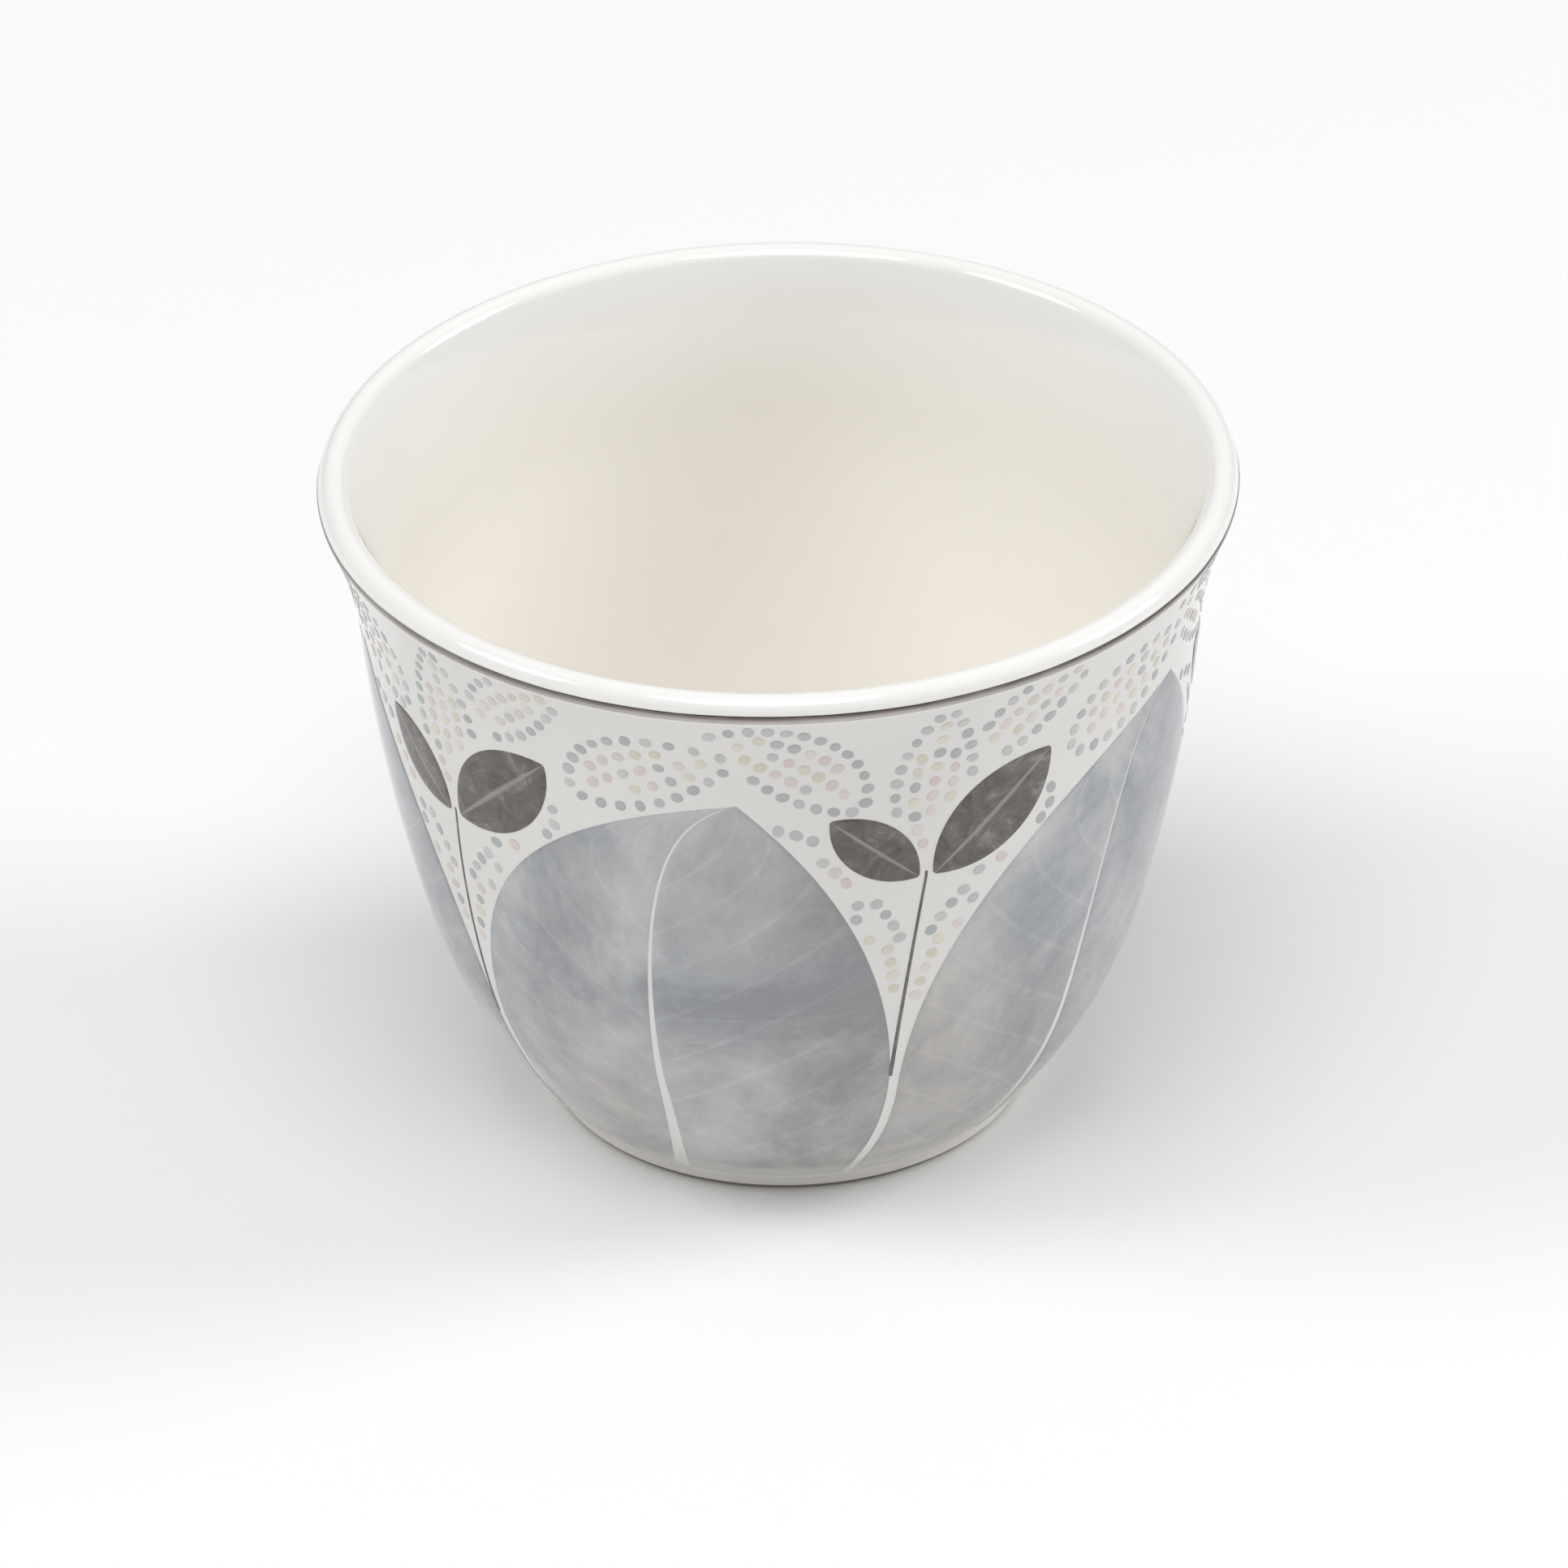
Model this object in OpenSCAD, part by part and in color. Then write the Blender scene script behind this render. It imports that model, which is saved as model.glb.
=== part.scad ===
// A small porcelain coffee cup without a handle. The axis is +Z and the cup stands on Z = 0.
// The front of the cup is -Y.

/* [Cup] */
// Diameter over the outside of the lip
rim_d = 64; // [56:0.5:72]
// Height from the table to the top of the lip
cup_h = 49; // [43:0.5:56]
// Thickness of the wall, and of the fully rounded lip
wall_t = 2.2; // [1.6:0.1:3]
// Thickness of the bottom at its middle
bottom_t = 3.2; // [2.4:0.1:5]
// Radius of the round corner between the bottom and the inside of the wall
bowl_r = 14; // [9:0.5:16]

/* [Side] */
// Radius of the outward flare under the lip
flare_r = 31; // [20:1:45]
// How far the wall leans back from the chord of the side where it leaves the foot, in degrees
foot_lean = 25.5; // [20:0.5:30]
// How far the wall is past the chord where the belly ends, in degrees
belly_lean = 2; // [0:0.5:4]
// How far the wall is past the chord where the flare starts, in degrees
side_lean = 12; // [9:0.5:14]
// How far the wall leans back from the chord at the lip, in degrees
lip_lean = 6.5; // [3:0.5:10]

/* [Foot ring] */
// Outer diameter of the foot ring
foot_d = 33.5; // [28:0.5:38]
// Height of the foot ring's outer face
foot_h = 0.9; // [0.6:0.1:2]
// Width of the ring
foot_w = 2.4; // [1.6:0.1:4]
// Depth of the recess inside the ring
recess_h = 1.3; // [0.8:0.1:2]
// Radius of the rounded edges that the cup stands on
foot_edge_r = 0.3; // [0.15:0.05:0.5]

/* [Glaze] */
// Thickness of the glaze
glaze_t = 0.15; // [0.1:0.05:0.3]
// Height of the bare stripe that is wiped clean around the foot
bare_h = 0.35; // [0.2:0.05:0.6]

/* [Platinum band] */
// Drop from the top of the lip to the upper edge of the band
band_drop = 0.9; // [0.6:0.1:3]
// Height of the band
band_h = 0.9; // [0.5:0.1:2]
// Thickness of the metal
band_t = 0.06; // [0.04:0.01:0.1]

/* [Print] */
// Number of broad leaves around the cup
leaf_count = 5; // [4:1:6]
// Thickness of the fired colour
print_t = 0.06; // [0.04:0.01:0.1]
// Height of the lower edge of the print
print_low = 1.5; // [1:0.1:4]
// Height of the notch where two broad leaves part
notch_z = 12; // [10:0.5:18]
// Radius of the long right edge of a broad leaf
right_edge_r = 38; // [36:1:60]
// Radius of the left edge of a broad leaf, from its notch to its tip
left_edge_r = 28; // [26:1:44]
// Width of the white gap beside a leaf that lies over its neighbour
leaf_gap = 0.7; // [0.3:0.1:1.5]
// Length of the large dark leaf of a sprout
dark_leaf_l = 12; // [9:0.5:13]
// Width of the large dark leaf
dark_leaf_w = 6; // [4:0.2:7]
// Size of the small dark leaf, as a share of the large one
small_leaf_share = 0.72; // [0.5:0.02:0.9]
// Rise of the foot of the dark leaves above the notch
dark_leaf_rise = 20; // [16:0.5:22]
// Place of the sprout to the right of its notch
sprout_x = 1.6; // [0:0.2:2]
// Half of the gap between the feet of two dark leaves
dark_leaf_apart = 0.5; // [0.5:0.1:1.5]
// Lean of a dark leaf to its side, in degrees
dark_leaf_lean = 48; // [44:1:56]

/* [Hidden] */
$fn = 120;
// Furthest that a straight step of a round outline may stray from its arc
arc_error = rim_d / 4500;

rim_r = rim_d / 2;
foot_r = foot_d / 2;
lip_r = wall_t / 2;
leaf_turn = 360 / leaf_count;
print_high = cup_h - band_drop - band_h;
sprout_z = notch_z + dark_leaf_rise;
// A broad leaf keeps at least this far from a dark one
dark_leaf_room = leaf_gap / 4;
// Above everything that the outlines of the print cut
far_up = cup_h + right_edge_r;

// The outer side is four arcs that run smoothly into each other: belly, side, flare and lip.
// The headings are the directions of the wall where one arc hands over to the next.
chord_angle = atan2(cup_h - foot_h, rim_r - foot_r);
foot_heading = chord_angle - foot_lean;
belly_heading = chord_angle + belly_lean;
side_heading = chord_angle + side_lean;
lip_heading = chord_angle - lip_lean;

// The radii of belly and side follow from the room that flare and lip leave them.
left_over = [
    rim_r - foot_r - flare_r * (sin(side_heading) - sin(lip_heading)) - lip_r * (1 - sin(lip_heading)),
    cup_h - foot_h - flare_r * (cos(lip_heading) - cos(side_heading)) - lip_r * (1 + cos(lip_heading))
];
belly_run = to_inside(foot_heading) - to_inside(belly_heading);
side_run = to_inside(belly_heading) - to_inside(side_heading);
belly_r = crossed(left_over, side_run) / crossed(belly_run, side_run);
side_r = crossed(belly_run, left_over) / crossed(belly_run, side_run);

// Centres of the arcs. The flare's is outside the cup.
belly_c = [foot_r, foot_h] + belly_r * to_inside(foot_heading);
side_c = belly_c + (side_r - belly_r) * to_inside(belly_heading);
flare_c = side_c - (side_r + flare_r) * to_inside(side_heading);
lip_c = flare_c + (flare_r + lip_r) * to_inside(lip_heading);

// The round corner inside the cup touches the flat middle of the bottom and the belly's arc.
floor_z = recess_h + bottom_t;
bowl_z = floor_z + bowl_r;
bowl_x = belly_c.x + sqrt(pow(belly_r - wall_t - bowl_r, 2) - pow(belly_c.y - bowl_z, 2));
bowl_c = [bowl_x, bowl_z];
bowl_angle = atan2(bowl_z - belly_c.y, bowl_x - belly_c.x);

// Unit vector from the outside to the inside of a wall that rises at this heading
function to_inside(heading) = [-sin(heading), cos(heading)];

function crossed(a, b) = a.x * b.y - a.y * b.x;

function arc(centre, radius, from, to) =
    let (steps = ceil(abs(to - from) / (2 * acos(1 - arc_error / radius))))
    [for (i = [0 : steps])
        let (angle = from + (to - from) * i / steps)
        centre + radius * [cos(angle), sin(angle)]];

// An arc that goes on from the last point of the one before it
function next_arc(centre, radius, from, to) =
    let (points = arc(centre, radius, from, to))
    [for (i = [1 : len(points) - 1]) points[i]];

// The side from the foot to the lip, this far under the finished surface, from this angle of the belly
function side_outline(depth, from) = concat(
    arc(belly_c, belly_r - depth, from, belly_heading - 90),
    next_arc(side_c, side_r - depth, belly_heading - 90, side_heading - 90),
    next_arc(flare_c, flare_r + depth, side_heading + 90, lip_heading + 90)
);

function reversed(points) = [for (i = [len(points) - 1 : -1 : 0]) points[i]];

// Half section of the cup, this far under the finished surface. The foot stands on the table at any depth.
function cup_outline(depth) =
    let (
        ring_out = foot_r - depth,
        ring_in = foot_r - foot_w + depth,
        crease_angle = -acos((ring_out - belly_c.x) / (belly_r - depth)),
        inside = side_outline(wall_t - depth, bowl_angle)
    )
    concat(
        [[0, recess_h + depth], [ring_in, recess_h + depth]],
        arc([ring_in + foot_edge_r, foot_edge_r], foot_edge_r, 180, 270),
        arc([ring_out - foot_edge_r, foot_edge_r], foot_edge_r, -90, 0),
        side_outline(depth, crease_angle),
        next_arc(lip_c, lip_r - depth, lip_heading - 90, 0),
        next_arc(lip_c, lip_r - depth, 0, 90),
        next_arc(lip_c, lip_r - depth, 90, lip_heading + 90),
        [for (i = [len(inside) - 2 : -1 : 0]) inside[i]],
        next_arc(bowl_c, bowl_r + depth, bowl_angle, -90),
        [[0, floor_z - depth]]
    );

// The outside from the foot to high on the round lip, this far over the finished surface
function outside_outline(rise) = concat(
    side_outline(-rise, foot_heading - 90),
    next_arc(lip_c, lip_r + rise, lip_heading - 90, 60)
);

// Half section of a layer on the outside, between two heights
module layer_section(thickness, low_z, high_z) {
    intersection() {
        polygon(concat(outside_outline(thickness), reversed(outside_outline(0))));
        translate([0, low_z])
            square([rim_d, high_z - low_z]);
    }
}

// A stretch of the fired colour, this many degrees to each side of a middle
module print_patch(middle, reach, low_z, high_z) {
    rotate([0, 0, middle - reach])
        rotate_extrude(angle = 2 * reach)
            layer_section(print_t, low_z, high_z);
}

// Pushes a flat outline out of the axis through the side. It is upright and seen from outside.
module through_side(turn, height) {
    rotate([0, 0, turn])
        translate([0, 0, height])
            rotate([90, 0, 90])
                linear_extrude(rim_d)
                    children();
}

// A leaf that points up from its foot at the origin
module leaf(length, width) {
    edge_r = (length * length + width * width) / (4 * width);
    half_turn = asin(length / 2 / edge_r);
    right_edge = arc([width / 2 - edge_r, length / 2], edge_r, -half_turn, half_turn);
    left_edge = next_arc([edge_r - width / 2, length / 2], edge_r, 180 - half_turn, 180 + half_turn);
    polygon(concat(right_edge, left_edge));
}

// A dark leaf with this much room around it. Over each notch the small one leans to the left and the large
// one to the right. The origin is at the height of their feet.
module dark_leaf(side, room) {
    share = side > 0 ? 1 : small_leaf_share;
    own_room = room / share;
    translate([sprout_x + side * dark_leaf_apart, 0])
        rotate(-side * dark_leaf_lean)
            scale(share)
                translate([0, -own_room])
                    leaf(dark_leaf_l + 2 * own_room, dark_leaf_w + 2 * own_room);
}

// All that is to the right of a broad leaf's long edge. The origin is at the notch.
module right_of_leaf() {
    polygon(concat(
        arc([-right_edge_r, 0], right_edge_r, -asin(notch_z / right_edge_r), 90),
        [[-right_edge_r, far_up], [rim_r, far_up], [rim_r, -notch_z]]
    ));
}

// All that is to the left of a broad leaf. Under the notch it lies behind the long edge of its neighbour.
module left_of_leaf() {
    top_r = left_edge_r + leaf_gap;
    polygon(concat(
        arc([leaf_gap - right_edge_r, 0], right_edge_r, -asin(notch_z / right_edge_r), 0),
        next_arc([top_r, 0], left_edge_r, 180, 90),
        [[top_r, far_up], [-rim_r, far_up], [-rim_r, -notch_z]]
    ));
}

module porcelain_body() {
    color("ivory")
        rotate_extrude()
            polygon(cup_outline(glaze_t));
}

module glaze_coat() {
    color("whitesmoke")
        rotate_extrude()
            intersection() {
                difference() {
                    polygon(cup_outline(0));
                    polygon(cup_outline(glaze_t));
                }
                translate([0, bare_h])
                    square([rim_d, cup_h]);
            }
}

module platinum_rim_band() {
    color("silver")
        rotate_extrude()
            layer_section(band_t, print_high, print_high + band_h);
}

module print_broad_leaves() {
    color("slategray")
        for (i = [0 : leaf_count - 1])
            rotate([0, 0, (i + 0.5) * leaf_turn])
                difference() {
                    print_patch(0, leaf_turn, print_low, print_high);
                    through_side(-leaf_turn / 2, notch_z)
                        left_of_leaf();
                    through_side(leaf_turn / 2, notch_z)
                        right_of_leaf();
                    for (turn = [-leaf_turn / 2, leaf_turn / 2], side = [-1, 1])
                        through_side(turn, sprout_z)
                            dark_leaf(side, dark_leaf_room);
                }
}

module print_dark_leaves() {
    color("dimgray")
        for (i = [0 : leaf_count - 1], side = [-1, 1])
            rotate([0, 0, i * leaf_turn])
                intersection() {
                    print_patch(0, leaf_turn / 2, sprout_z - dark_leaf_w / 2, sprout_z + dark_leaf_l);
                    through_side(0, sprout_z)
                        dark_leaf(side, 0);
                }
}

porcelain_body();
glaze_coat();
platinum_rim_band();
print_broad_leaves();
print_dark_leaves();
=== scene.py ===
"""Looks of a small porcelain coffee cup with a platinum band and a fired print of leaves.

Lengths are in millimetres until a mesh is made, and angles are in degrees.
The cup stands on Z = 0, its axis is +Z and its front is -Y.
"""

import math

import bpy
import numpy as np
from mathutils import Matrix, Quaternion, Vector


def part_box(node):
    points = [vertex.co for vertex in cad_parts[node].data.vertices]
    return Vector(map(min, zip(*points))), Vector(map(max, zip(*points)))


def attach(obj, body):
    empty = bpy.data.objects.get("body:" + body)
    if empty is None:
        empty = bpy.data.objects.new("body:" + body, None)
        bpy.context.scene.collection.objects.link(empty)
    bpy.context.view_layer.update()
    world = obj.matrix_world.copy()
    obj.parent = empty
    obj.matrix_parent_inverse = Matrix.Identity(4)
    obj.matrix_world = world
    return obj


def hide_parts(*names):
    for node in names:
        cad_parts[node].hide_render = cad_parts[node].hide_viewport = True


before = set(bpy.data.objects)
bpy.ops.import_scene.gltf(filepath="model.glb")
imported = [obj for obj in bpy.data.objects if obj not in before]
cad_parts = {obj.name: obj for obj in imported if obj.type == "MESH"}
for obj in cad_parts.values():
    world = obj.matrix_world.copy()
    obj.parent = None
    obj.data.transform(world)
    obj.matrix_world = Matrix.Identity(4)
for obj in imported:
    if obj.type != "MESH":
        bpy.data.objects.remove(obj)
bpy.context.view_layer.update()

MM = 0.001

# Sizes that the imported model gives
glaze_low, glaze_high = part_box("glaze_coat")
band_low, band_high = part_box("platinum_rim_band")
leaves_low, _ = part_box("print_broad_leaves")
RIM_R = glaze_high.x / MM
CUP_H = glaze_high.z / MM
BARE_H = glaze_low.z / MM
BAND_LOW = band_low.z / MM
BAND_HIGH = band_high.z / MM
PRINT_LOW = leaves_low.z / MM

# Driving dimensions of the porcelain
WALL_T = 2.2
BOTTOM_T = 3.2
BOWL_R = 14
FLARE_R = 31
FOOT_R = 16.75
FOOT_H = 0.9
FOOT_W = 2.4
RECESS_H = 1.3
FOOT_EDGE_R = 0.3
GLAZE_T = 0.15
BAND_T = 0.05

# Leans of the wall against the chord of the side
FOOT_LEAN = 25.5
BELLY_LEAN = 2
SIDE_LEAN = 12
LIP_LEAN = 6.5

# Broad leaves
LEAF_COUNT = 5
LEAF_TURN = 360 / LEAF_COUNT
NOTCH_Z = 12
RIGHT_EDGE_R = 38
LEFT_EDGE_R = 28
LEAF_GAP = 0.7

# Fired colour: its height inside and along its border, how deep it reaches into the glaze, and the width
# of the border of a broad leaf at its edges and at its foot
FILM_T = 0.045
EDGE_T = 0.012
SUNK = 0.03
SOFT_EDGE = 0.22
SOFT_FOOT = 0.8

# Steps of the meshes: length of a step of an outline, steps of a turn of the cup and of the band
OUTLINE_STEP = 0.75
TURN_STEPS = 288
BAND_STEPS = 480

SEED = 11


def rad(degrees):
    return math.radians(degrees)


def to_inside(heading):
    """Unit vector from the outside to the inside of a wall that rises at this heading."""
    return np.array([-math.sin(rad(heading)), math.cos(rad(heading))])


def crossed(a, b):
    return a[0] * b[1] - a[1] * b[0]


# The side of the cup is four arcs that run smoothly into each other: belly, side, flare and lip
LIP_R = WALL_T / 2
CHORD = math.degrees(math.atan2(CUP_H - FOOT_H, RIM_R - FOOT_R))
FOOT_HEADING = CHORD - FOOT_LEAN
BELLY_HEADING = CHORD + BELLY_LEAN
SIDE_HEADING = CHORD + SIDE_LEAN
LIP_HEADING = CHORD - LIP_LEAN
flare_run = -to_inside(SIDE_HEADING) + to_inside(LIP_HEADING)
LEFT_OVER = (
    np.array([RIM_R - FOOT_R - LIP_R, CUP_H - FOOT_H - LIP_R])
    - FLARE_R * flare_run
    - LIP_R * to_inside(LIP_HEADING)
)
BELLY_RUN = to_inside(FOOT_HEADING) - to_inside(BELLY_HEADING)
SIDE_RUN = to_inside(BELLY_HEADING) - to_inside(SIDE_HEADING)
BELLY_R = crossed(LEFT_OVER, SIDE_RUN) / crossed(BELLY_RUN, SIDE_RUN)
SIDE_R = crossed(BELLY_RUN, LEFT_OVER) / crossed(BELLY_RUN, SIDE_RUN)
BELLY_C = np.array([FOOT_R, FOOT_H]) + BELLY_R * to_inside(FOOT_HEADING)
SIDE_C = BELLY_C + (SIDE_R - BELLY_R) * to_inside(BELLY_HEADING)
FLARE_C = SIDE_C - (SIDE_R + FLARE_R) * to_inside(SIDE_HEADING)
LIP_C = FLARE_C + (FLARE_R + LIP_R) * to_inside(LIP_HEADING)

# The round corner of the bowl touches the flat middle of the bottom and the belly's arc
FLOOR_Z = RECESS_H + BOTTOM_T
BOWL_Z = FLOOR_Z + BOWL_R
BOWL_X = BELLY_C[0] + math.sqrt((BELLY_R - WALL_T - BOWL_R) ** 2 - (BELLY_C[1] - BOWL_Z) ** 2)
BOWL_C = np.array([BOWL_X, BOWL_Z])
BOWL_ANGLE = math.degrees(math.atan2(BOWL_Z - BELLY_C[1], BOWL_X - BELLY_C[0]))


def arc(centre, radius, start, end, step=OUTLINE_STEP):
    """Points of an arc from one angle to another, about this far apart."""
    count = max(3, math.ceil(abs(rad(end - start)) * radius / step))
    angles = np.radians(np.linspace(start, end, count + 1))
    return np.column_stack([centre[0] + radius * np.cos(angles), centre[1] + radius * np.sin(angles)])


def side_outline(depth, start):
    """The side from the foot to the lip, this far under the finished surface."""
    return np.vstack([
        arc(BELLY_C, BELLY_R - depth, start, BELLY_HEADING - 90),
        arc(SIDE_C, SIDE_R - depth, BELLY_HEADING - 90, SIDE_HEADING - 90)[1:],
        arc(FLARE_C, FLARE_R + depth, SIDE_HEADING + 90, LIP_HEADING + 90)[1:],
    ])


def cup_outline(depth):
    """Half section of the cup, from its axis below to its axis inside, and where its side starts."""
    ring_out = FOOT_R - depth
    ring_in = FOOT_R - FOOT_W + depth
    crease = -math.degrees(math.acos((ring_out - BELLY_C[0]) / (BELLY_R - depth)))
    edge_step = FOOT_EDGE_R / 4
    foot = np.vstack([
        [[0, RECESS_H + depth], [ring_in, RECESS_H + depth]],
        arc([ring_in + FOOT_EDGE_R, FOOT_EDGE_R], FOOT_EDGE_R, 180, 270, edge_step),
        arc([ring_out - FOOT_EDGE_R, FOOT_EDGE_R], FOOT_EDGE_R, -90, 0, edge_step),
    ])
    lip_step = LIP_R / 8
    outline = np.vstack([
        foot,
        side_outline(depth, crease),
        arc(LIP_C, LIP_R - depth, LIP_HEADING - 90, 0, lip_step)[1:],
        arc(LIP_C, LIP_R - depth, 0, 90, lip_step)[1:],
        arc(LIP_C, LIP_R - depth, 90, LIP_HEADING + 90, lip_step)[1:],
        side_outline(WALL_T - depth, BOWL_ANGLE)[::-1][1:],
        arc(BOWL_C, BOWL_R + depth, BOWL_ANGLE, -90)[1:],
        [[0, FLOOR_Z - depth]],
    ])
    return outline, len(foot)


def arc_end(centre, radius, heading):
    """Height at which an arc on the outside ends, where the wall rises at this heading."""
    return centre[1] + radius * math.sin(rad(heading - 90))


# The arcs of the outside from the foot upwards: upper end, centre, radius, and -1 where it is hollow
OUTSIDE_ARCS = [
    (arc_end(BELLY_C, BELLY_R, BELLY_HEADING), BELLY_C, BELLY_R, 1),
    (arc_end(SIDE_C, SIDE_R, SIDE_HEADING), SIDE_C, SIDE_R, 1),
    (arc_end(LIP_C, LIP_R, LIP_HEADING), FLARE_C, FLARE_R, -1),
    (CUP_H, LIP_C, LIP_R, 1),
]


def side(z):
    """Radius and outward normal of the finished side at these heights."""
    z = np.asarray(z, float)
    below = [z <= end for end, _, _, _ in OUTSIDE_ARCS[:-1]] + [True]
    centre_r = np.select(below, [centre[0] for _, centre, _, _ in OUTSIDE_ARCS])
    centre_z = np.select(below, [centre[1] for _, centre, _, _ in OUTSIDE_ARCS])
    radius = np.select(below, [radius for _, _, radius, _ in OUTSIDE_ARCS])
    bulge = np.select(below, [bulge for _, _, _, bulge in OUTSIDE_ARCS])
    r = centre_r + bulge * np.sqrt(radius ** 2 - (z - centre_z) ** 2)
    return r, bulge * (r - centre_r) / radius, bulge * (z - centre_z) / radius


def on_side(azimuth, z, lift):
    """Points this far off the finished side."""
    r, out_r, out_z = side(z)
    reach = r + lift * out_r
    turn = np.radians(azimuth)
    return np.stack([reach * np.cos(turn), reach * np.sin(turn), z + lift * out_z], axis=-1)


def seen_flat(turn, height, x, y):
    """Azimuth and height of a flat upright drawing that is pushed out through the side."""
    z = height + np.asarray(y, float)
    r, _, _ = side(z)
    return turn + np.degrees(np.arcsin(np.clip(np.asarray(x, float) / r, -1, 1))), z


# Meshes

# Edges that turn by more than this are creases, and all others are smooth
SHARP_FROM = 40


def make_piece(name, points, faces, material, uvs=None, tones=None):
    """A smooth mesh from points in millimetres, which rides on the cup."""
    mesh = bpy.data.meshes.new(name)
    mesh.from_pydata((np.asarray(points) * MM).tolist(), [], faces)
    mesh.shade_smooth()
    mesh.set_sharp_from_angle(angle=rad(SHARP_FROM))
    if uvs is not None:
        layer = mesh.uv_layers.new(name="UVMap")
        corners = np.zeros(len(mesh.loops), int)
        mesh.loops.foreach_get("vertex_index", corners)
        layer.data.foreach_set("uv", np.asarray(uvs)[corners].ravel())
    if tones is not None:
        attribute = mesh.attributes.new("tone", "FLOAT", "POINT")
        attribute.data.foreach_set("value", np.asarray(tones, float))
    mesh.materials.append(material)
    piece = bpy.data.objects.new(name, mesh)
    bpy.context.scene.collection.objects.link(piece)
    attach(piece, "root")
    return piece


def lathe(name, outline, material, tones=None):
    """Turns an outline about the axis. An outline that starts and ends on the axis closes itself."""
    on_axis = outline[0][0] == 0
    turns = np.linspace(0, 360, TURN_STEPS, endpoint=False)
    rings = []
    points = []
    for r, z in outline:
        if r == 0:
            rings.append([len(points)])
            points.append([0, 0, z])
            continue
        rings.append(list(range(len(points), len(points) + TURN_STEPS)))
        for turn in turns:
            points.append([r * math.cos(rad(turn)), r * math.sin(rad(turn)), z])
    faces = []
    pairs = list(zip(rings, rings[1:])) + ([] if on_axis else [(rings[-1], rings[0])])
    for lower, upper in pairs:
        for i in range(TURN_STEPS):
            j = (i + 1) % TURN_STEPS
            if len(lower) == 1 and len(upper) == 1:
                break
            if len(lower) == 1:
                faces.append([lower[0], upper[j], upper[i]])
            elif len(upper) == 1:
                faces.append([lower[i], lower[j], upper[0]])
            else:
                faces.append([lower[i], lower[j], upper[j], upper[i]])
    if tones is not None:
        tones = np.repeat(tones, [len(ring) for ring in rings])
    return make_piece(name, points, faces, material, tones=tones)


# A dot: its sides, and the shares of its radius and of the film's thickness at its rings
DOT_SIDES = 14
DOT_RING_SHARES = [(0.55, 1), (0.85, 0.85), (1, EDGE_T / FILM_T)]
# Places across a line, as shares of its width
LINE_SHARES = np.array([-0.5, -0.25, 0, 0.25, 0.5])


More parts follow.
